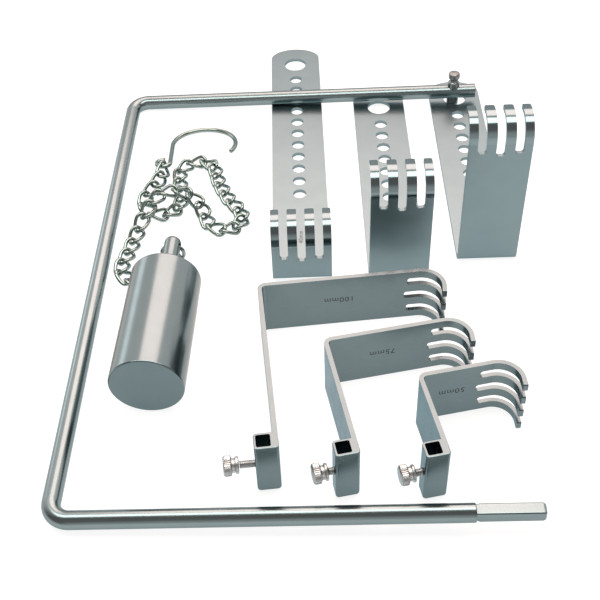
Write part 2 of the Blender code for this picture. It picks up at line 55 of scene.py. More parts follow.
# Rod frame
ROD_D = 9.5
ROD_BEND = 10.5      # radius of the centre line in the two bends
ROD_EDGE = 0.15
FRAME_CORNER = (-126.6, -146.7)
FRAME_YAW = -2.56
FRAME_LEFT = 345.0
FRAME_FAR = 240.0
FRAME_NEAR = 206.1
SHANK = 6.8
SHANK_LEN = 33.0
SHANK_EDGE = 1.0
# The shank's ends: distance from its root or in from its tip, and how much is off each side
SHANK_ROOT = ((-3.0, 0.0), (0.4, 0.35), (1.6, 0.0))
SHANK_TIP = ((1.6, 0.0), (0.7, 0.25), (0.2, 0.7), (0.0, 1.3))

# Pivot pin
PIN_FROM_END = 15.3
PIN_D = 7.8
PIN_NECK_D = 5.0
PIN_ABOVE = 15.0
PIN_FOOT = 0.3       # between the pin's foot and the table
PIN_STUB = 3.1

# Blade strip
WIDTH = 35.0
THICK = 2.4
BEND_OUT = 4.5       # outer radius of a bend
CURL = 13.0          # outer radius of the claw
CURL_SWEEP = 98.0
TAIL = 5.0           # straight end of each finger
SLOT = 4.8
FINGER_OUT = 4.8     # width of the two outer fingers
SLOT_MORE = 1.6      # how much deeper the middle slot is
SLOT_CORNER = 1.5
TIP_CORNER = 1.1     # rounding of the finger tips' corners
EDGE = 0.28          # broken edges of the strip

# How far cutters reach past the steel: holes, and slots above, outside and inside the claw
HOLE_PAST = 1.0
SLOT_ABOVE = 2.0
SLOT_OUTSIDE = 1.5
SLOT_INSIDE = 6.0

# Perforated blades: name, depth, strap length, small holes, slot depth, foot, yaw
Perforated = namedtuple("Perforated", "mark depth length holes slots x y yaw")
PERFORATED = (
    Perforated("40", 40.0, 246.2, 11, 22.6, 2.1, 16.1, -0.47),
    Perforated("75", 75.0, 190.3, 7, 20.2, 58.9, 13.9, -0.73),
    Perforated("100", 100.0, 185.0, 6, 19.4, 112.9, 26.2, -0.78),
)
BIG_HOLE = 15.6
BIG_FROM_END = 20.2
SMALL_HOLE = 8.4
BIG_TO_SMALL = 19.7
HOLE_PITCH = 12.9
END_RISE = 12.0      # how far the rounded end of the strap bulges
END_FROM = 3.0       # angle at which the rounded end starts, a little off its very tip

# Socket blades: name, reach, arm length, block corner, yaw, gap between block and screw head
SocketBlade = namedtuple("SocketBlade", "mark reach arm x y yaw screw_gap")
SOCKETS = (
    SocketBlade("100", 100.0, 111.3, -12.8, -131.1, 4.14, 8.0),
    SocketBlade("75", 75.0, 74.9, 25.6, -136.2, 9.59, 3.0),
    SocketBlade("50", 50.0, 50.8, 68.1, -139.0, 9.89, 3.6),
)
SOCKET_OUT = 9.4
SOCKET_HOLE = SHANK + 0.4
SOCKET_HOLE_CORNER = 0.9
SOCKET_EDGE = 1.6
HOOK_SLOT = 19.3
# The block's ends: distance from its foot or its top, and how much is off each side
SOCKET_FOOT = ((0.0, 1.1), (0.35, 0.45), (1.0, 0.1), (1.7, 0.0))
SOCKET_TOP = ((0.5, 0.0), (0.12, 0.12), (0.0, 0.5))

# Thumb screw
SCREW_D = 4.0
SCREW_LEN = 9.8
THREAD_PITCH = 0.7
THREAD_DEPTH = 0.34
THREAD_FADE = 0.8    # length over which the shank's tip narrows
HEAD_D = 10.4
COLLAR_D = 9.0
WAIST_D = 7.2
KNURL = 0.2          # depth of a knurl
KNURLS = 34
HEAD_SHARP = 38.0    # edges above this angle stay sharp

# Etched size marks: letter sizes and places on the steel
MARK_LIFT = 0.008    # a mark stands this far off the steel
MARK_THICK = 0.004
MARK_SPACING = 1.12
REACH_MARK = 5.2
REACH_MARK_AT = (42.7, 29.5, 16.2)    # from the arm's inner face, for each socket blade
REACH_MARK_UP = 18.8
DEPTH_MARK = 4.2
DEPTH_MARK_AT = (-0.1, 35.8)          # from the foot of the smallest perforated blade

# Weight, placed by the cross hole in its stem, where the chain ends
WEIGHT_D = 40.2
WEIGHT_LEN = 80.6
WEIGHT_EDGE = 0.12
CROSS_HOLE_AT = (-73.893, 28.414)
WEIGHT_YAW = -4.2
STEM_D = 10.0
STEM_LEN = 31.6
CROSS_HOLE = 4.8
CROSS_FROM_FACE = 26.0

# Chain
WIRE = 2.2
LINK_IN = 10.4        # inner length
LINK_OUT_W = 10.2     # outer width
LINK_TWIST = 45.0
LINKS = 40
LINK_ROLL = 45.0      # roll of the first link, against the last one's
END_ROLL = 24.4       # roll of the last link
ROLL_LINKS = 3        # links over which either roll eases off
RING_IN = 10.8        # plain link through the cross hole: inner length and outer width
RING_W = 13.7
HANG = (2.64, 1.09, -10.04)   # chain's end, from the cross hole
CHAIN_ROUTE = (
    (-85.1, 120.1, 9.3), (-86.4, 110.0, 8.3), (-89.3, 102.7, 7.4), (-94.4, 95.8, 6.3),
    (-97.3, 87.1, 5.5), (-93.7, 79.0, 4.6), (-84.9, 76.1, 3.8), (-76.1, 79.9, 3.7),
    (-72.6, 89.5, 3.9), (-73.5, 100.0, 4.5), (-74.8, 110.0, 4.3), (-74.9, 120.0, 4.0),
    (-69.3, 126.8, 4.4), (-61.1, 128.0, 4.7), (-53.9, 124.4, 5.0), (-51.2, 114.6, 4.7),
    (-49.2, 104.5, 4.5), (-45.3, 94.7, 4.5), (-40.9, 84.6, 4.5), (-34.3, 76.2, 3.7),
    (-33.5, 67.0, 4.2), (-39.1, 59.6, 4.4), (-47.6, 58.8, 4.7), (-55.3, 64.5, 5.2),
    (-57.6, 74.5, 5.6), (-61.7, 82.1, 9.0), (-68.2, 86.2, 12.5), (-74.9, 87.1, 14.5),
    (-82.2, 85.4, 15.8), (-87.8, 79.1, 15.1), (-93.1, 71.9, 11.8), (-96.7, 64.4, 7.7),
    (-99.0, 56.5, 5.1), (-100.5, 51.6, 4.7), (-102.6, 42.4, 4.5), (-105.2, 33.4, 5.0),
    (-106.0, 24.0, 5.5), (-100.6, 16.4, 6.1), (-91.7, 13.6, 7.1), (-82.5, 15.1, 8.6),
    (-75.0, 20.7, 9.5),
)

# Wire hook
HOOK_WIRE = 3.0
HOOK_R = 21.3
HOOK_EYE_R = 4.35    # centre line of the eye
HOOK_SHANK = 23.7    # eye centre to arc centre, along the shank
HOOK_EYE_AT = (-85.9, 122.4, 9.0)
HOOK_DIP = -9.2
HOOK_TIP = -32.0     # direction of the arc's free end, from the arc's centre
HOOK_EYE_SWEEP = 280.0

# How a rod and a wire close at their ends: distance in from the end, share of the radius
ROD_END = ((0.0, 0.88), (0.12, 0.94), (0.35, 0.985), (0.7, 1.0))
WIRE_END = ((0.0, 0.55), (0.12, 0.82), (0.4, 0.97), (0.8, 1.0))

# How finely round shapes are made
BAR_STEPS = 12
ROD_STEPS = 22       # in each bend
ROD_SIDES = 40
PIN_SIDES = 48
BEND_STEPS = 14
CURL_STEPS = 32
END_STEPS = 32
SLOT_STEPS = 8
CORNER_STEPS = 6
HOLE_STEPS = 56
BORE_STEPS = 32
CROSS_STEPS = 40
THREAD_SIDES = 28
THREAD_STEPS = 10    # along one pitch
KNURL_STEPS = 4      # round one knurl
WEIGHT_SIDES = 128
WEIGHT_STEPS = 12
WIRE_SIDES = 14
LINK_POINTS = 40
ROUTE_STEPS = 24
WALK_HALVINGS = 30
PITCH_HALVINGS = 40
EYE_STEPS = 40
ARC_STEPS = 64
HOOK_SIDES = 20

# Grain of the materials: noise per metre, and how far the brush lines go at a wear of 1
BLOTCHES = 60.0
SMEARS = 140.0
BRUSH_LINES = 900.0
ETCH_GRAIN = 1500.0
NOISE_SPAN = (0.3, 0.7)      # the part of a noise's range that is used
BRUSH_ROUGH = 0.012
BRUSH_BUMP = 0.008
BRUSH_DEPTH = 0.0001         # metres

# White table, in metres: so wide that a low view doesn't reach its edge
TABLE_HALF = 20.0
TABLE_DROP = 0.0002
TABLE_WHITE = (0.30, 0.30, 0.30, 1.0)
TABLE_GLOW = (0.86, 0.86, 0.86, 1.0)

# Studio: its colour from the camera's side (0) to the far side (1)
STUDIO_STRENGTH = 1.6
STUDIO_NEAR = (0.54, 0.51, 0.50, 1.0)
STUDIO_FAR = (0.51, 0.46, 0.45, 1.0)
STUDIO_LEVELS = ((0.12, 0.19), (0.40, 0.15), (0.55, 0.30), (0.70, 0.75), (0.85, 0.85))
STUDIO_TINT = (1.07, 0.93, 0.89)

# Soft panels: name, place, what it faces, width and depth, radiance, colour
LIGHTS = (
    ("overhead", (0.0, 0.0, 560.0), (0.0, 0.0, 0.0), (900.0, 230.0), 4.7, (1.0, 0.95, 0.90)),
    ("back_sky", (60.0, 660.0, 790.0), (0.0, 0.0, 0.0), (760.0, 640.0), 3.05,
     (1.0, 0.665, 0.59)),
    ("left_low", (-700.0, 560.0, 160.0), (-80.0, 0.0, 0.0), (420.0, 220.0), 1.5,
     (0.97, 1.0, 1.0)),
)


def spot(x, y, z=0.0):
    """World position in metres of a layout position in millimetres."""
    return Vector(((x - LAYOUT_X) * MM, (y - LAYOUT_Y) * MM, z * MM))


def turned(x, y, yaw):
    """The layout vector (x, y) turned by yaw."""
    a = math.radians(yaw)
    return x * math.cos(a) - y * math.sin(a), x * math.sin(a) + y * math.cos(a)


def rotation(angle, axis):
    return Matrix.Rotation(math.radians(angle), 4, axis)


def placed(loc, yaw=0.0):
    """Placement at a world position, turned by yaw about Z."""
    return Matrix.Translation(loc) @ rotation(yaw, "Z")


# Materials

def new_material(name):
    mat = bpy.data.materials.new(name)
    mat.use_nodes = True
    return mat, mat.node_tree.nodes, mat.node_tree.links


def noise(nodes, links, coords, scale, stretch=(1.0, 1.0, 1.0), detail=3.0):
    """Noise on the object's own coordinates, stretched along its axes."""
    mapping = nodes.new("ShaderNodeMapping")
    mapping.inputs["Scale"].default_value = stretch
    links.new(coords.outputs["Object"], mapping.inputs["Vector"])
    tex = nodes.new("ShaderNodeTexNoise")
    tex.inputs["Scale"].default_value = scale
    tex.inputs["Detail"].default_value = detail
    links.new(mapping.outputs["Vector"], tex.inputs["Vector"])
    return tex


def ranged(nodes, links, source, low, high):
    """A noise mapped to a range."""
    out = nodes.new("ShaderNodeMapRange")
    out.inputs["From Min"].default_value = NOISE_SPAN[0]
    out.inputs["From Max"].default_value = NOISE_SPAN[1]
    out.inputs["To Min"].default_value = low
    out.inputs["To Max"].default_value = high
    links.new(source.outputs["Fac"], out.inputs["Value"])
    return out.outputs["Result"]


def two_colors(nodes, links, first, second, source):
    """Colour the shader from first to second, as the noise goes."""
    tint = nodes.new("ShaderNodeMix")
    tint.data_type = "RGBA"
    tint.inputs["A"].default_value = (*first, 1.0)
    tint.inputs["B"].default_value = (*second, 1.0)
    links.new(ranged(nodes, links, source, 0.0, 1.0), tint.inputs["Factor"])
    links.new(tint.outputs["Result"], nodes["Principled BSDF"].inputs["Base Color"])


def steel(name, color, dark, rough, brush, wear=1.0, rim=(0.55, 0.68, 0.74)):
    """Stainless steel: fine brush lines, faint blotches and soft smears."""
    mat, nodes, links = new_material(name)
    shader = nodes["Principled BSDF"]
    shader.inputs["Metallic"].default_value = 1.0
    shader.inputs["Specular Tint"].default_value = (*rim, 1.0)
    coords = nodes.new("ShaderNodeTexCoord")
    blotch = noise(nodes, links, coords, BLOTCHES, detail=5.0)
    two_colors(nodes, links, dark, color, blotch)
    lines = noise(nodes, links, coords, BRUSH_LINES, brush, detail=2.0)
    smear = noise(nodes, links, coords, SMEARS, detail=4.0)
    mixed = nodes.new("ShaderNodeMath")
    mixed.operation = "ADD"
    wave = BRUSH_ROUGH * wear
    links.new(ranged(nodes, links, lines, -wave, wave), mixed.inputs[0])
    links.new(ranged(nodes, links, smear, rough[0], rough[1]), mixed.inputs[1])
    links.new(mixed.outputs["Value"], shader.inputs["Roughness"])
    bump = nodes.new("ShaderNodeBump")
    bump.inputs["Strength"].default_value = BRUSH_BUMP * wear
    bump.inputs["Distance"].default_value = BRUSH_DEPTH
    links.new(lines.outputs["Fac"], bump.inputs["Height"])
    links.new(bump.outputs["Normal"], shader.inputs["Normal"])
    return mat


def stain(name, color, rough):
    """Dark matte stain of an etched mark, slightly uneven."""
    mat, nodes, links = new_material(name)
    nodes["Principled BSDF"].inputs["Roughness"].default_value = rough
    grain = noise(nodes, links, nodes.new("ShaderNodeTexCoord"), ETCH_GRAIN)
    two_colors(nodes, links, color, [c * 1.5 for c in color], grain)
    return mat


STRAP = steel("strap_satin", (0.203, 0.272, 0.287), (0.192, 0.258, 0.273), (0.34, 0.38),
              brush=(1.0, 0.02, 1.0), wear=0.2)
CLAW = steel("claw_polish", (0.20, 0.262, 0.274), (0.19, 0.25, 0.262), (0.12, 0.16),
             brush=(0.05, 1.0, 1.0), wear=0.3)
# Socket blades: the strap's satin steel made darker, as painted shade for the dim reflections on
# their camera-facing faces
SHADED_BLADE = steel("blade_satin_painted_shade", (0.16, 0.205, 0.213), (0.148, 0.193, 0.202), (0.23, 0.28),
              brush=(0.05, 0.05, 1.0), wear=0.3)
ROD = steel("rod_polish", (0.21, 0.268, 0.275), (0.198, 0.254, 0.26), (0.22, 0.26),
            brush=(0.05, 0.05, 1.0), wear=0.4, rim=(0.70, 0.74, 0.76))
TURNED = steel("weight_turned", (0.177, 0.23, 0.241), (0.165, 0.217, 0.228), (0.20, 0.24),
               brush=(0.02, 0.02, 1.0), wear=0.3, rim=(0.85, 0.80, 0.77))
FACED = steel("weight_end", (0.15, 0.20, 0.21), (0.14, 0.188, 0.198), (0.28, 0.30),
              brush=(1.0, 1.0, 1.0), wear=0.1)
SCREW = steel("screw_bright", (0.56, 0.58, 0.57), (0.50, 0.52, 0.51), (0.34, 0.42),
              brush=(1.0, 1.0, 1.0), wear=0.3)
CHAIN = steel("chain_bright", (0.27, 0.335, 0.31), (0.232, 0.288, 0.267), (0.12, 0.18),
              brush=(1.0, 1.0, 1.0), wear=0.4)
PIN = steel("pin_dull", (0.25, 0.27, 0.27), (0.19, 0.205, 0.205), (0.28, 0.42),
            brush=(1.0, 1.0, 1.0), wear=1.5)
ETCH = stain("etched_mark", (0.02, 0.022, 0.025), 0.6)


# Meshes

def new_object(name, data, matrix=None):
    obj = bpy.data.objects.new(name, data)
    bpy.context.scene.collection.objects.link(obj)
    if matrix is not None:
        obj.matrix_world = matrix
    return obj


def mesh_from(name, verts, faces):
    """A mesh from millimetre points, with its normals turned outward."""
    mesh = bpy.data.meshes.new(name)
    mesh.from_pydata([tuple(c * MM for c in v) for v in verts], [], faces)
    work = bmesh.new()
    work.from_mesh(mesh)
    bmesh.ops.recalc_face_normals(work, faces=work.faces)
    work.to_mesh(mesh)
    work.free()
    return mesh


def loft(name, rings, cyclic=False):
    """A closed solid through rings that all have the same number of points."""
    count = len(rings[0])
    verts = [p for ring in rings for p in ring]
    faces = []
    for i in range(len(rings) if cyclic else len(rings) - 1):
        j = (i + 1) % len(rings)
        for k in range(count):
            n = (k + 1) % count
            faces.append((i * count + k, i * count + n, j * count + n, j * count + k))
    if not cyclic:
        faces.append(tuple(range(count)))
        faces.append(tuple(range((len(rings) - 1) * count, len(rings) * count)))
    return mesh_from(name, verts, faces)


def circle(radius, steps):
    angles = [2 * math.pi * k / steps for k in range(steps)]
    return [(radius * math.cos(a), radius * math.sin(a)) for a in angles]


def rounded_rect(width, depth, radius):
    """Corner-rounded rectangle around the origin, as a list of points."""
    out = []
    for sx, sy, start in ((1, 1, 0), (-1, 1, 90), (-1, -1, 180), (1, -1, 270)):
        for k in range(CORNER_STEPS + 1):
            a = math.radians(start + 90.0 * k / CORNER_STEPS)
            out.append((sx * (width / 2 - radius) + radius * math.cos(a),
                        sy * (depth / 2 - radius) + radius * math.sin(a)))
    return out


def tube_rings(points, radius, sides, cyclic=False, ends=()):
    """Round rings along a line of points, carried along it without twist.

    ends says how both ends of an open line close: (distance in, share of the radius) steps.
    """
    pts = [Vector(p) for p in points]
    count = len(pts)
    stations = []
    side = None
    for i, p in enumerate(pts):
        before = pts[i - 1] if i > 0 or cyclic else p
        after = pts[(i + 1) % count] if i < count - 1 or cyclic else p
        t = (after - before).normalized()
        if side is None:
            guess = Vector((0.0, 0.0, 1.0)) if abs(t.z) < 0.8 else Vector((1.0, 0.0, 0.0))
            side = t.cross(guess).normalized()
        side = (side - t * side.dot(t)).normalized()
        stations.append((p, t, side, t.cross(side)))

    def ring(station, inset=0.0, share=1.0):
        p, t, side, up = station
        middle, r = p + t * inset, radius * share
        return [tuple(middle + side * (r * a) + up * (r * b)) for a, b in circle(1.0, sides)]

    if not ends:
        return [ring(station) for station in stations]
    first = [ring(stations[0], inset, share) for inset, share in ends]
    last = [ring(stations[-1], -inset, share) for inset, share in reversed(ends)]
    return first + [ring(station) for station in stations[1:-1]] + last


def lathe(name, profile, steps):
    """A turned solid: the profile (radius, height) spun about Z."""
    return loft(name, [[(r * a, r * b, z) for a, b in circle(1.0, steps)] for r, z in profile])


def apply_modifiers(obj):
    """Replace an object's mesh by its evaluated one."""
    bpy.context.view_layer.update()
    graph = bpy.context.evaluated_depsgraph_get()
    mesh = bpy.data.meshes.new_from_object(obj.evaluated_get(graph))
    old = obj.data
    obj.modifiers.clear()
    obj.data = mesh
    bpy.data.meshes.remove(old)


def cut(obj, tools, operation="DIFFERENCE"):
    """Apply cutter meshes, given in the object's own space, as exact Booleans."""
    work = bmesh.new()
    for mesh in tools:
        work.from_mesh(mesh)
    mesh = bpy.data.meshes.new("tool")
    work.to_mesh(mesh)
    work.free()
    tool = new_object("tool", mesh, obj.matrix_world.copy())
    mod = obj.modifiers.new("cut", "BOOLEAN")
    mod.operation = operation
    mod.solver = "EXACT"
    mod.object = tool
    apply_modifiers(obj)
    bpy.data.objects.remove(tool, do_unlink=True)


def soften(obj, width=EDGE, segments=2, angle=35.0):
    """Break the sharp edges and shade the faces by their size."""
    mod = obj.modifiers.new("edges", "BEVEL")
    mod.width = width * MM
    mod.segments = segments
    mod.limit_method = "ANGLE"
    mod.angle_limit = math.radians(angle)
    mod.use_clamp_overlap = True
    obj.data.shade_smooth()
    normals = obj.modifiers.new("normals", "WEIGHTED_NORMAL")
    normals.mode = "FACE_AREA"
    normals.keep_sharp = False
    apply_modifiers(obj)


def piece(obj, body, mat, slot, *nodes):
    """Give a finished piece its material, its body and the solids it stands for."""
    obj.data.materials.clear()
    obj.data.materials.append(mat)
    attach(obj, body)
    if nodes:
        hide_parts(*nodes)


def repaint(obj, mat, chosen):
    """Give the faces that chosen picks another material."""
    obj.data.materials.append(mat)
    for face in obj.data.polygons:
        if chosen(face):
            face.material_index = 1


# Frame

def frame_path():
    """Centre line of the rod in the frame's own plane, corner at the origin."""
    r = ROD_BEND
    pts = [(FRAME_FAR + (r - FRAME_FAR) * k / BAR_STEPS, FRAME_LEFT, 0.0)
           for k in range(BAR_STEPS)]
    for start, middle in ((90.0, FRAME_LEFT - r), (180.0, r)):
        for k in range(ROD_STEPS + 1):
            a = math.radians(start + 90.0 * k / ROD_STEPS)
            pts.append((r + r * math.cos(a), middle + r * math.sin(a), 0.0))
    pts.append((FRAME_NEAR, 0.0, 0.0))
    return pts


def pin_reach():
    return FRAME_FAR - PIN_FROM_END


def frame_matrix():
    """The frame on the table, tilted about its left bar so that the pin's foot just clears."""
    tilt = math.degrees(math.asin((PIN_FOOT + THICK + PIN_STUB) / pin_reach()))
    return placed(spot(*FRAME_CORNER, ROD_D / 2), FRAME_YAW) @ rotation(-tilt, "Y")


def build_frame():
    bar = tube_rings(frame_path(), ROD_D / 2, ROD_SIDES, ends=ROD_END)
    rod = new_object("frame_bar", loft("frame_bar", bar), frame_matrix())
    end = FRAME_NEAR + SHANK_LEN
    rings = []
    for x, less in ([(FRAME_NEAR + at, less) for at, less in SHANK_ROOT]
                    + [(end - at, less) for at, less in SHANK_TIP]):
        side = SHANK - 2 * less
        corner = max(SHANK_EDGE - less * 0.2, 0.5)
        rings.append([(x, p, q) for p, q in rounded_rect(side, side, corner)])
    pin_hole = circle(PIN_NECK_D / 2 + GAP, BORE_STEPS)
    hole = [[(pin_reach() + p, FRAME_LEFT + q, z) for p, q in pin_hole] for z in (-ROD_D, ROD_D)]
    cut(rod, [loft("shank", rings)], "UNION")
    cut(rod, [loft("hole", hole)])
    soften(rod, ROD_EDGE, 2, 40.0)
    piece(rod, "frame", ROD, "satin_steel", "frame_rod")


def build_pin():
    r = PIN_D / 2
    neck = PIN_NECK_D / 2
    top = PIN_ABOVE
    foot = -(ROD_D / 2 + THICK + PIN_STUB)
    profile = [(0.02, top), (r - 1.6, top - 0.02), (r - 0.9, top - 0.15), (r - 0.35, top - 0.5),
               (r - 0.05, top - 1.1), (r, top - 1.8), (r, top - 3.1), (r - 0.15, top - 3.7),
               (r - 0.6, top - 4.2), (neck + 0.25, top - 4.6), (neck, top - 5.0),
               (neck, top - 6.1), (neck + 0.2, top - 6.5), (r - 0.6, top - 6.9),
               (r - 0.1, top - 7.4), (r, top - 8.0), (r, foot + 0.7), (r - 0.2, foot + 0.25),
               (r - 0.6, foot), (0.02, foot)]
    place = frame_matrix() @ Vector((pin_reach() * MM, FRAME_LEFT * MM, 0.0))
    pin = new_object("pivot_stud", lathe("pivot_stud", profile, PIN_SIDES),
                     Matrix.Translation(place))
    soften(pin, 0.05, 1, 60.0)
    piece(pin, "frame", PIN, "satin_steel", "pivot_pin")


# Blades

def arc(cx, cy, start, sweep, steps):
    """Centre and direction of each station along an arc."""
    out = []
    for k in range(steps + 1):
        a = math.radians(start + sweep * k / steps)
        out.append(((cx, cy), (math.cos(a), math.sin(a))))
    return out


def along_arc(centre, direction, radius, half):
    """The strip's outer and inner point and half its width, at a station of an arc."""
    (cx, cy), (dx, dy) = centre, direction
    inside = radius - THICK
    return (cx + dx * radius, cy + dy * radius), (cx + dx * inside, cy + dy * inside), half


def curl_stations(centre, start, half):
    """The claw's arc and its straight tail; also the tail's direction and end."""
    stations = []
    top = arc(centre[0], centre[1], start, -CURL_SWEEP, CURL_STEPS)
    for mid, direction in top:
        stations.append(along_arc(mid, direction, CURL, half))
    (ox, oy), (ix, iy), _ = stations[-1]
    fx, fy = top[-1][1][1], -top[-1][1][0]
    tip = (ox + fx * TAIL, oy + fy * TAIL)
    stations.append((tip, (ix + fx * TAIL, iy + fy * TAIL), half))
    return stations, (fx, fy), tip


def strip_mesh(name, stations, to_xyz):
    rings = []
    for outer, inner, half in stations:
        corners = ((outer, -half), (outer, half), (inner, half), (inner, -half))
        rings.append([to_xyz(p, across) for p, across in corners])
    return loft(name, rings)


def slot_bars(root, top, to_xyz, low, high):
    """Three bars with rounded roots that open the slots of a claw."""
    bars = []
    r = SLOT_CORNER
    inner = (WIDTH - 2 * FINGER_OUT - 3 * SLOT) / 2
    for centre, more in ((-SLOT - inner, 0.0), (0.0, SLOT_MORE), (SLOT + inner, 0.0)):
        outline = [(top, -SLOT / 2), (top, SLOT / 2)]
        for side, start in ((1, 90.0), (-1, 180.0)):
            for k in range(SLOT_STEPS + 1):
                a = math.radians(start + 90.0 * k / SLOT_STEPS)
                outline.append((root - more + r + r * math.cos(a),
                                side * (SLOT / 2 - r) + r * math.sin(a)))
        bars.append(loft("bar", [[to_xyz(level, along, centre + across)
                                  for along, across in outline] for level in (low, high)]))
    return bars


def round_tips(obj, tip, forward):
    """Round the corners of the finger tips, whose edges run through the strip."""
    work = bmesh.new()
    work.from_mesh(obj.data)
    picked = []
    for edge in work.edges:
        off = max(abs((v.co - tip).dot(forward)) for v in edge.verts)
        if off <= 2 * NEAR and abs(edge.calc_length() - THICK * MM) < NEAR:
            picked.append(edge)
    bmesh.ops.bevel(work, geom=picked, offset=TIP_CORNER * MM, segments=5, profile=0.5,
                    affect="EDGES")
    work.to_mesh(obj.data)
    work.free()


def build_perforated(spec):
    """A perforated claw blade: strap with holes, riser and four curled fingers."""
    half = WIDTH / 2
    stations = []
    for k in range(END_STEPS + 1):
        a = math.radians(END_FROM + (90.0 - END_FROM) * k / END_STEPS)
        at = spec.length - END_RISE + END_RISE * math.cos(a)
        stations.append(((at, 0.0), (at, THICK), half * math.sin(a)))
    for mid, direction in arc(BEND_OUT, BEND_OUT, 270.0, -90.0, BEND_STEPS):
        stations.append(along_arc(mid, direction, BEND_OUT, half))
    curl, forward, tip = curl_stations((CURL, spec.depth - CURL), 180.0, half)
    mesh = strip_mesh("strap", stations + curl, lambda p, across: (across, p[0], p[1]))
    blade = new_object("claw_strap_" + spec.mark, mesh, placed(spot(spec.x, spec.y), spec.yaw))
    big_at = spec.length - BIG_FROM_END
    rows = [(big_at, BIG_HOLE)]
    rows += [(big_at - BIG_TO_SMALL - k * HOLE_PITCH, SMALL_HOLE) for k in range(spec.holes)]
    tools = []
    for at, size in rows:
        tools.append(loft("hole", [[(p, at + q, z) for p, q in circle(size / 2, HOLE_STEPS)]
                                   for z in (-HOLE_PAST, THICK + HOLE_PAST)]))
    tools += slot_bars(spec.depth - spec.slots, spec.depth + SLOT_ABOVE,
                       lambda level, along, across: (across, level, along),
                       -SLOT_OUTSIDE, CURL + TAIL + SLOT_INSIDE)
    cut(blade, tools)
    round_tips(blade, Vector((0.0, tip[0], tip[1])) * MM, Vector((0.0, *forward)))
    soften(blade)
    piece(blade, "strap_" + spec.mark, STRAP, "satin_steel", "strap_blade_" + spec.mark)
    repaint(blade, CLAW, lambda face: face.center.z > (spec.depth - CURL) * MM)


def build_socket_blade(spec):
    """Socket block and claw blade of one socket blade, welded into one."""
    half = WIDTH / 2
    cy = SOCKET_OUT / 2
    stations = [((-THICK, cy), (0.0, cy), half)]
    for mid, direction in arc(BEND_OUT - THICK, spec.arm - BEND_OUT, 180.0, -90.0, BEND_STEPS):
        stations.append(along_arc(mid, direction, BEND_OUT, half))
    curl, forward, tip = curl_stations((spec.reach - CURL, spec.arm - CURL), 90.0, half)
    mesh = strip_mesh("hook", stations + curl, lambda p, across: (p[0], p[1], across + half))
    blade = new_object("socket_claw_" + spec.mark, mesh, placed(spot(spec.x, spec.y), spec.yaw))
    cut(blade, slot_bars(spec.reach - HOOK_SLOT, spec.reach + SLOT_ABOVE,
                         lambda level, along, across: (along, level, across + half),
                         spec.arm - CURL - TAIL - SLOT_INSIDE, spec.arm + SLOT_OUTSIDE))
    round_tips(blade, Vector((tip[0], tip[1], half)) * MM, Vector((*forward, 0.0)))

    wide = THICK + GAP + SOCKET_OUT
    rings = []
    for z, less in SOCKET_FOOT + tuple((WIDTH - down, less) for down, less in SOCKET_TOP):
        outline = rounded_rect(wide - 2 * less, SOCKET_OUT - 2 * less, SOCKET_EDGE - less * 0.4)
        rings.append([(-wide / 2 + p, cy + q, z) for p, q in outline])
    cx = -THICK - GAP - SOCKET_OUT / 2
    bore = [[(cx + p, cy + q, z)
             for p, q in rounded_rect(SOCKET_HOLE, SOCKET_HOLE, SOCKET_HOLE_CORNER)]
            for z in (-HOLE_PAST, WIDTH + HOLE_PAST)]
    screw_hole = [[(x, cy + p, WIDTH / 2 + q)
                   for p, q in circle(SCREW_D / 2 + GAP / 2, BORE_STEPS)]
                  for x in (cx - SOCKET_OUT, cx)]
    cut(blade, [loft("block", rings)], "UNION")
    cut(blade, [loft("bore", bore)])
    cut(blade, [loft("screw_hole", screw_hole)])
    soften(blade)
    # The socket blade gets the darker copy of the satin steel, which carries painted shade
    piece(blade, "hook_" + spec.mark, SHADED_BLADE, "satin_steel",
          "hook_blade_" + spec.mark, "socket_" + spec.mark)


# Thumb screws

def thread_mesh(length, radius):
    """Threaded shank along X: a loft whose radius follows the helix."""
    rings = []
    steps = int(length / THREAD_PITCH * THREAD_STEPS)
    for i in range(steps + 1):
        x = GAP + (length - GAP) * i / steps
        fade = min(1.0, (length - x) / THREAD_FADE + 0.25)
        ring = []
        for k, (a, b) in enumerate(circle(1.0, THREAD_SIDES)):
            phase = (x / THREAD_PITCH - k / THREAD_SIDES) % 1.0
            r = (radius - THREAD_DEPTH * abs(2 * phase - 1.0)) * (0.75 + 0.25 * fade)
            ring.append((x, r * a, r * b))
        rings.append(ring)
    return loft("thread", rings)


def head_mesh():
    """Knurled head, waist and collar along X, with a domed end face."""
    # Place along X, diameter, knurled or not
    stations = ((-7.8, 1.0, False), (-7.78, HEAD_D - 2.6, False), (-7.7, HEAD_D - 1.4, False),
                (-7.45, HEAD_D - 0.7, False), (-7.1, HEAD_D - 0.2, True), (-6.9, HEAD_D, True),
                (-4.2, HEAD_D, True), (-3.95, HEAD_D - 0.2, True), (-3.7, HEAD_D - 0.8, False),
                (-3.5, WAIST_D + 0.6, False), (-3.3, WAIST_D, False), (-2.0, WAIST_D, False),
                (-1.8, WAIST_D + 0.5, False), (-1.55, COLLAR_D - 0.4, False),
                (-1.35, COLLAR_D, False), (-0.5, COLLAR_D, False),
                (-0.25, COLLAR_D - 0.3, False), (-0.1, COLLAR_D - 1.2, False),
                (0.0, SCREW_D + 1.2, False))
    rings = []
    for x, size, knurled in stations:
        ring = []
        for k, (a, b) in enumerate(circle(1.0, KNURL_STEPS * KNURLS)):
            wave = 0.5 * math.cos(2 * math.pi * k / KNURL_STEPS) if knurled else 0.0
            r = size / 2 - (KNURL * (0.5 - wave) if size > WAIST_D else 0.0)
            ring.append((x, r * a, r * b))
        rings.append(ring)
    return loft("head", rings)


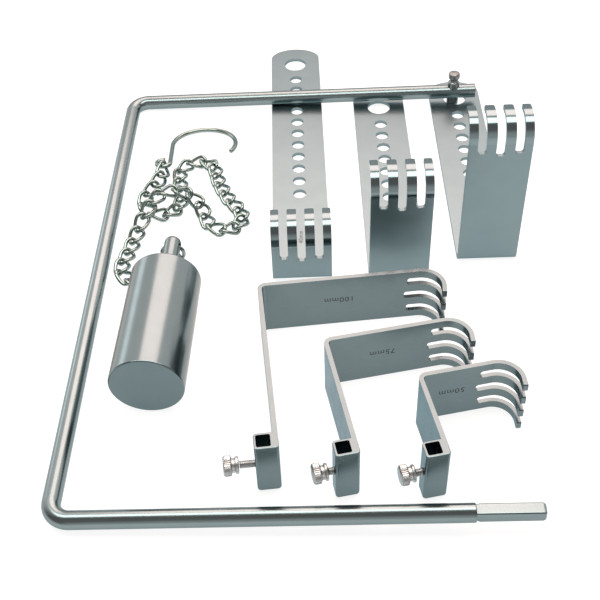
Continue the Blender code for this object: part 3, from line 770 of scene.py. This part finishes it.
def build_screw(spec):
    left = -THICK - GAP - SOCKET_OUT
    dx, dy = turned(left - spec.screw_gap, SOCKET_OUT / 2, spec.yaw)
    matrix = placed(spot(spec.x + dx, spec.y + dy, WIDTH / 2), spec.yaw)
    shank = new_object("thread_" + spec.mark, thread_mesh(SCREW_LEN, SCREW_D / 2), matrix)
    shank.data.shade_smooth()
    piece(shank, "screw_" + spec.mark, SCREW, "bright_steel", "screw_" + spec.mark)
    head = new_object("knurled_head_" + spec.mark, head_mesh(), matrix)
    head.data.shade_smooth()
    head.data.set_sharp_from_angle(angle=math.radians(HEAD_SHARP))
    piece(head, "screw_head_" + spec.mark, SCREW, "bright_steel", "screw_head_" + spec.mark)


# Marks

def build_mark(name, words, size, body, matrix):
    """An etched size mark, as thin flat letters that lie on the steel."""
    text = bpy.data.curves.new(name, "FONT")
    text.body = words
    text.size = size * MM
    text.align_x = "CENTER"
    text.align_y = "CENTER"
    text.extrude = MARK_THICK * MM
    text.space_character = MARK_SPACING
    text.resolution_u = 6
    source = new_object(name, text)
    bpy.context.view_layer.update()
    graph = bpy.context.evaluated_depsgraph_get()
    mesh = bpy.data.meshes.new_from_object(source.evaluated_get(graph))
    bpy.data.objects.remove(source, do_unlink=True)
    piece(new_object(name, mesh, matrix), body, ETCH, "satin_steel")


def build_marks():
    """The sizes etched on the socket blades, and on the smallest perforated blade."""
    standing = rotation(90.0, "X") @ rotation(180.0, "Z")
    for spec, along in zip(SOCKETS, REACH_MARK_AT):
        dx, dy = turned(along, spec.arm - THICK - MARK_LIFT, spec.yaw)
        place = placed(spot(spec.x + dx, spec.y + dy, REACH_MARK_UP), spec.yaw)
        build_mark("mark_reach_" + spec.mark, spec.mark + "mm", REACH_MARK,
                   "hook_" + spec.mark, place @ standing)
    spec = PERFORATED[0]
    dx, dy = turned(*DEPTH_MARK_AT, spec.yaw)
    build_mark("mark_depth_" + spec.mark, spec.mark + "mm", DEPTH_MARK, "strap_" + spec.mark,
               placed(spot(spec.x + dx, spec.y + dy, THICK + MARK_LIFT), spec.yaw + 90.0))


# Weight

def build_weight():
    r = WEIGHT_D / 2
    s = STEM_D / 2
    tip = STEM_LEN - CROSS_FROM_FACE
    face = -CROSS_FROM_FACE
    base = -WEIGHT_LEN - CROSS_FROM_FACE
    profile = [(0.02, tip), (s - 2.4, tip - 0.02), (s - 1.3, tip - 0.25), (s - 0.5, tip - 0.9),
               (s - 0.1, tip - 1.8), (s, tip - 2.8), (s, face + 1.0), (s + 0.3, face + 0.3),
               (s + 1.0, face), (r - 1.0, face), (r - 0.45, face - 0.15), (r - 0.1, face - 0.5),
               (r, face - 1.1)]
    for k in range(1, WEIGHT_STEPS):
        profile.append((r, face - 1.1 + (base - face + 2.0) * k / WEIGHT_STEPS))
    profile += [(r, base + 0.9), (r - 0.12, base + 0.4), (r - 0.45, base + 0.1),
                (r - 0.9, base), (0.02, base)]
    weight = new_object("turned_weight", lathe("turned_weight", profile, WEIGHT_SIDES),
                        placed(spot(*CROSS_HOLE_AT, WEIGHT_D / 2), WEIGHT_YAW)
                        @ rotation(-90.0, "X"))
    cross = [[(level, p, q) for p, q in circle(CROSS_HOLE / 2, CROSS_STEPS)]
             for level in (-STEM_D, STEM_D)]
    cut(weight, [loft("cross", cross)])
    soften(weight, WEIGHT_EDGE, 2, 40.0)
    piece(weight, "weight", TURNED, "turned_steel", "weight")
    repaint(weight, FACED, lambda face: face.normal.z < -0.9)


# Chain

def oval_points(inner, wide):
    """Centre line of a flat link: straight sides and round ends."""
    r = (wide - WIRE) / 2
    s = (inner + WIRE) / 2 - r
    bow = math.pi * r
    around = 4 * s + 2 * bow
    out = []
    for k in range(LINK_POINTS):
        u = around * (k + 0.5) / LINK_POINTS
        if u < 2 * s:
            out.append((u - s, r))
        elif u < 2 * s + bow:
            a = (u - 2 * s) / r
            out.append((s + r * math.sin(a), r * math.cos(a)))
        elif u < 4 * s + bow:
            out.append((s - (u - 2 * s - bow), -r))
        else:
            a = (u - 4 * s - bow) / r
            out.append((-s - r * math.sin(a), -r * math.cos(a)))
    return out


def link_mesh(name, twist, inner, wide):
    """A link whose plane turns by twist at each end."""
    half = (inner + WIRE) / 2
    points = []
    for x, y in oval_points(inner, wide):
        a = math.radians(twist) * x / half
        points.append((x, y * math.cos(a), y * math.sin(a)))
    mesh = loft(name, tube_rings(points, WIRE / 2, WIRE_SIDES, cyclic=True), cyclic=True)
    mesh.shade_smooth()
    return mesh


def smooth_route(points):
    """A smooth line through the route's points."""
    pts = [Vector(p) for p in points]
    pts = [2 * pts[0] - pts[1]] + pts + [2 * pts[-1] - pts[-2]]
    out = []
    for i in range(1, len(pts) - 2):
        p0, p1, p2, p3 = pts[i - 1:i + 3]
        for k in range(ROUTE_STEPS):
            t = k / ROUTE_STEPS
            out.append(0.5 * (2 * p1 + (p2 - p0) * t
                              + (2 * p0 - 5 * p1 + 4 * p2 - p3) * t * t
                              + (3 * p1 - p0 - 3 * p2 + p3) * t ** 3))
    out.append(pts[-2])
    return out


def walk(line, pitch, count):
    """Joints one pitch apart along the line, and how far the last one falls short.

    A line that is too short gives -1 for the second.
    """
    joints = [line[0]]
    i = 1
    while len(joints) <= count:
        last = joints[-1]
        while i < len(line) and (line[i] - last).length < pitch:
            i += 1
        if i >= len(line):
            return joints, -1.0
        a, b = line[i - 1], line[i]
        low, high = 0.0, 1.0
        for _ in range(WALK_HALVINGS):
            mid = (low + high) / 2
            if (a + (b - a) * mid - last).length < pitch:
                low = mid
            else:
                high = mid
        joints.append(a + (b - a) * high)
    return joints, (line[-1] - joints[-1]).length


def hang_point():
    """Where the chain's last link ends, in the plain link under the stem."""
    dx, dy = turned(HANG[0], HANG[1], WEIGHT_YAW)
    return CROSS_HOLE_AT[0] + dx, CROSS_HOLE_AT[1] + dy, WEIGHT_D / 2 + HANG[2]


def chain_joints():
    """Joints of the whole chain, with the pitch that fills the route exactly."""
    line = smooth_route(CHAIN_ROUTE + (hang_point(),))
    low, high = 0.8 * LINK_IN, LINK_IN
    for _ in range(PITCH_HALVINGS):
        pitch = (low + high) / 2
        if walk(line, pitch, LINKS)[1] < 0:
            high = pitch
        else:
            low = pitch
    return walk(line, low, LINKS)[0]


def link_roll(number):
    """Roll of a link: the ends are rolled, eased off over a few links."""
    first = min(0.0, LINK_ROLL * (number / ROLL_LINKS - 1.0))
    last = max(0.0, END_ROLL * (1.0 - (LINKS - 1 - number) / ROLL_LINKS))
    return first + last


def chain_frames():
    """Middle and axes of every link; its third axis leans up, but for the roll."""
    joints = chain_joints()
    high = Vector((0.0, 0.0, 1.0))
    frames = []
    for number in range(LINKS):
        a, b = joints[number], joints[number + 1]
        t = (b - a).normalized()
        up = (high - t * t.z).normalized()
        rolled = Matrix.Rotation(math.radians(link_roll(number)), 3, t) @ up
        frames.append(((a + b) / 2, t, rolled.cross(t), rolled))
    return frames


def build_chain():
    shape = link_mesh("curb_link", LINK_TWIST, LINK_IN, LINK_OUT_W)
    for number, (mid, t, side, up) in enumerate(chain_frames(), 1):
        axes = Matrix((t, side, up)).transposed().to_4x4()
        link = new_object("curb_link_%02d" % number, shape.copy(),
                          Matrix.Translation(spot(*mid)) @ axes)
        piece(link, "chain", CHAIN, "bright_steel", "link_%02d" % number)
    middle = WEIGHT_D / 2 + CROSS_HOLE / 2 - GAP - RING_W / 2
    ring = new_object("stem_link", link_mesh("stem_link", 0.0, RING_IN, RING_W),
                      placed(spot(*CROSS_HOLE_AT, middle), WEIGHT_YAW) @ rotation(90.0, "X"))
    piece(ring, "chain", CHAIN, "bright_steel", "end_link")


# Hook

def build_hook():
    pts = []
    for k in range(EYE_STEPS + 1):
        a = math.radians(-HOOK_EYE_SWEEP * (1.0 - k / EYE_STEPS))
        pts.append((HOOK_EYE_R * math.cos(a), HOOK_EYE_R * math.sin(a), 0.0))
    cx = HOOK_EYE_R + HOOK_R
    for k in range(ARC_STEPS + 1):
        a = math.radians(180.0 + (HOOK_TIP - 180.0) * k / ARC_STEPS)
        pts.append((cx + HOOK_R * math.cos(a), HOOK_SHANK + HOOK_R * math.sin(a), 0.0))
    rings = tube_rings(pts, HOOK_WIRE / 2, HOOK_SIDES, ends=WIRE_END)
    hook = new_object("drape_hook", loft("drape_hook", rings),
                      Matrix.Translation(spot(*HOOK_EYE_AT)) @ rotation(HOOK_DIP, "X"))
    hook.data.shade_smooth()
    piece(hook, "hook", CHAIN, "bright_steel", "wire_hook")


# Stage

def only_background(nodes, links):
    """1 for camera, glossy and transmission rays, 0 for the rest."""
    path = nodes.new("ShaderNodeLightPath")
    value = path.outputs["Is Camera Ray"]
    for name in ("Is Glossy Ray", "Is Transmission Ray"):
        most = nodes.new("ShaderNodeMath")
        most.operation = "MAXIMUM"
        links.new(value, most.inputs[0])
        links.new(path.outputs[name], most.inputs[1])
        value = most.outputs["Value"]
    return value


def build_floor():
    """White table that glows evenly to the camera and keeps a faint shadow."""
    h = TABLE_HALF
    mesh = bpy.data.meshes.new("table_top")
    mesh.from_pydata([(-h, -h, 0.0), (h, -h, 0.0), (h, h, 0.0), (-h, h, 0.0)], [],
                     [(0, 1, 2, 3)])
    floor = new_object("table_top", mesh, Matrix.Translation((0.0, 0.0, -TABLE_DROP)))
    mat, nodes, links = new_material("table_white")
    shader = nodes["Principled BSDF"]
    shader.inputs["Base Color"].default_value = TABLE_WHITE
    shader.inputs["Roughness"].default_value = 1.0
    shader.inputs["Specular IOR Level"].default_value = 0.0
    glow = nodes.new("ShaderNodeEmission")
    glow.inputs["Color"].default_value = TABLE_GLOW
    links.new(only_background(nodes, links), glow.inputs["Strength"])
    both = nodes.new("ShaderNodeAddShader")
    links.new(shader.outputs["BSDF"], both.inputs[0])
    links.new(glow.outputs["Emission"], both.inputs[1])
    links.new(both.outputs["Shader"], nodes["Material Output"].inputs["Surface"])
    floor.data.materials.append(mat)


def build_world():
    """Studio round the table: dark over its near half, then bright, and mid grey at both ends."""
    world = bpy.data.worlds.new("studio")
    bpy.context.scene.world = world
    world.use_nodes = True
    nodes, links = world.node_tree.nodes, world.node_tree.links
    coords = nodes.new("ShaderNodeTexCoord")
    split = nodes.new("ShaderNodeSeparateXYZ")
    links.new(coords.outputs["Generated"], split.inputs["Vector"])
    ramp = nodes.new("ShaderNodeValToRGB")
    ramp.color_ramp.interpolation = "EASE"
    stops = ramp.color_ramp.elements
    stops[0].position, stops[0].color = 0.0, STUDIO_NEAR
    stops[1].position, stops[1].color = 1.0, STUDIO_FAR
    for at, level in STUDIO_LEVELS:
        stops.new(at).color = (*[level * c for c in STUDIO_TINT], 1.0)
    along = nodes.new("ShaderNodeMapRange")
    along.inputs["From Min"].default_value = -1.0
    along.inputs["From Max"].default_value = 1.0
    links.new(split.outputs["Y"], along.inputs["Value"])
    links.new(along.outputs["Result"], ramp.inputs["Fac"])
    back = nodes["Background"]
    links.new(ramp.outputs["Color"], back.inputs["Color"])
    back.inputs["Strength"].default_value = STUDIO_STRENGTH


def build_lights():
    for name, at, target, (width, depth), radiance, color in LIGHTS:
        data = bpy.data.lights.new(name, "AREA")
        data.shape = "RECTANGLE"
        data.size = width * MM
        data.size_y = depth * MM
        data.energy = radiance * math.pi * width * depth * MM * MM
        data.color = color
        lamp = new_object(name, data)
        lamp.location = spot(*at)
        aim = spot(*target) - lamp.location
        lamp.rotation_euler = aim.to_track_quat("-Z", "Y").to_euler()


def build_camera():
    """The photograph's viewpoint: above the near side, looking down at the layout."""
    pitch, roll = math.radians(CAM_PITCH), math.radians(CAM_ROLL)
    ahead = Vector((0.0, math.cos(pitch), -math.sin(pitch)))
    high = Vector((0.0, math.sin(pitch), math.cos(pitch)))
    wide = Vector((1.0, 0.0, 0.0))
    right = wide * math.cos(roll) - high * math.sin(roll)
    up = high * math.cos(roll) + wide * math.sin(roll)
    axes = Matrix((right, up, -ahead)).transposed().to_4x4()
    data = bpy.data.cameras.new("camera")
    data.lens = CAM_LENS
    data.sensor_width = CAM_SENSOR
    data.clip_start = CAM_CLIP * MM
    place = spot(0.0, 0.0) - ahead * CAM_DISTANCE * MM
    bpy.context.scene.camera = new_object("camera", data, Matrix.Translation(place) @ axes)


def main():
    build_camera()
    build_world()
    build_lights()
    build_floor()
    build_frame()
    build_pin()
    for spec in PERFORATED:
        build_perforated(spec)
    for spec in SOCKETS:
        build_socket_blade(spec)
        build_screw(spec)
    build_marks()
    build_weight()
    build_chain()
    build_hook()
    bpy.context.scene.view_settings.view_transform = "Standard"


main()
